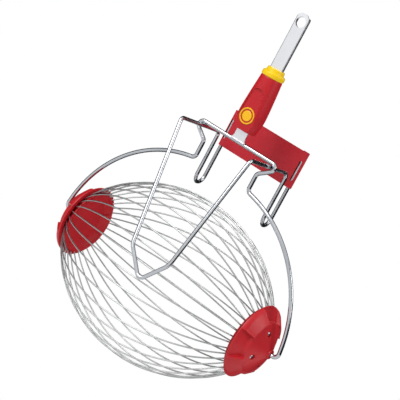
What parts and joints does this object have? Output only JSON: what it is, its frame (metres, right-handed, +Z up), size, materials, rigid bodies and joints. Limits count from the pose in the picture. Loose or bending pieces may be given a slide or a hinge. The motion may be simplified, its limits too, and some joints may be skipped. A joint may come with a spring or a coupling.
{
  "type": "nut gatherer head",
  "caption": "Roller nut gatherer head: a barrel of spring wires turning in a bent-wire bow below a click-on handle socket, with a hook-on wire emptying aid.",
  "frame": {"origin": "centre of the handle seat: the top of the yellow collar, on the axis of the tongue", "axes": "+Z up the tongue toward the handle, +X along the roller's axle, -Y toward the nose of the emptying aid"},
  "size_m": [0.4896, 0.3041, 0.6363],
  "materials": {
    "bright_steel": "bright zinc-plated sheet",
    "plated_wire": "bright plated round wire",
    "spring_wire": "bright drawn spring steel wire",
    "screw_steel": "zinc-plated",
    "red_plastic": "glossy moulded",
    "red_paint": "glossy coat on folded sheet steel",
    "yellow_plastic": "glossy moulded",
    "badge_plastic": "glossy moulded"
  },
  "bodies": {
    "frame": {"bow_wire": "plated_wire", "tongue": "bright_steel", "socket": "red_plastic", "collar": "yellow_plastic", "badge_ring": "badge_plastic", "badge_disc": "badge_plastic"},
    "basket": {"left_hub_cap": "red_plastic", "right_hub_cap": "red_plastic", "left_hub_plate": "red_plastic", "right_hub_plate": "red_plastic", "left_hub_screws": "screw_steel", "right_hub_screws": "screw_steel", "basket_wire_01": "spring_wire", "basket_wire_02": "spring_wire", "basket_wire_03": "spring_wire", "basket_wire_04": "spring_wire", "basket_wire_05": "spring_wire", "basket_wire_06": "spring_wire", "basket_wire_07": "spring_wire", "basket_wire_08": "spring_wire", "basket_wire_09": "spring_wire", "basket_wire_10": "spring_wire", "basket_wire_11": "spring_wire", "basket_wire_12": "spring_wire", "basket_wire_13": "spring_wire", "basket_wire_14": "spring_wire", "basket_wire_15": "spring_wire", "basket_wire_16": "spring_wire", "basket_wire_17": "spring_wire", "basket_wire_18": "spring_wire", "basket_wire_19": "spring_wire", "basket_wire_20": "spring_wire", "basket_wire_21": "spring_wire", "basket_wire_22": "spring_wire", "basket_wire_23": "spring_wire", "basket_wire_24": "spring_wire", "basket_wire_25": "spring_wire", "basket_wire_26": "spring_wire", "basket_wire_27": "spring_wire", "basket_wire_28": "spring_wire", "basket_wire_29": "spring_wire", "basket_wire_30": "spring_wire", "basket_wire_31": "spring_wire", "basket_wire_32": "spring_wire", "basket_wire_33": "spring_wire", "basket_wire_34": "spring_wire", "basket_wire_35": "spring_wire", "basket_wire_36": "spring_wire"},
    "emptying_aid": {"aid_wire": "plated_wire", "aid_plate": "red_paint"}
  },
  "joints": [
    {"name": "roller_spin", "type": "hinge", "parent": "frame", "child": "basket", "pos_m": [0, 0, -0.39], "axis": [1, 0, 0], "continuous": true},
    {"name": "aid_slide", "type": "slide", "parent": "frame", "child": "emptying_aid", "axis": [0, -0.9989, 0.0471], "range_m": [0, 0.042]}
  ]
}
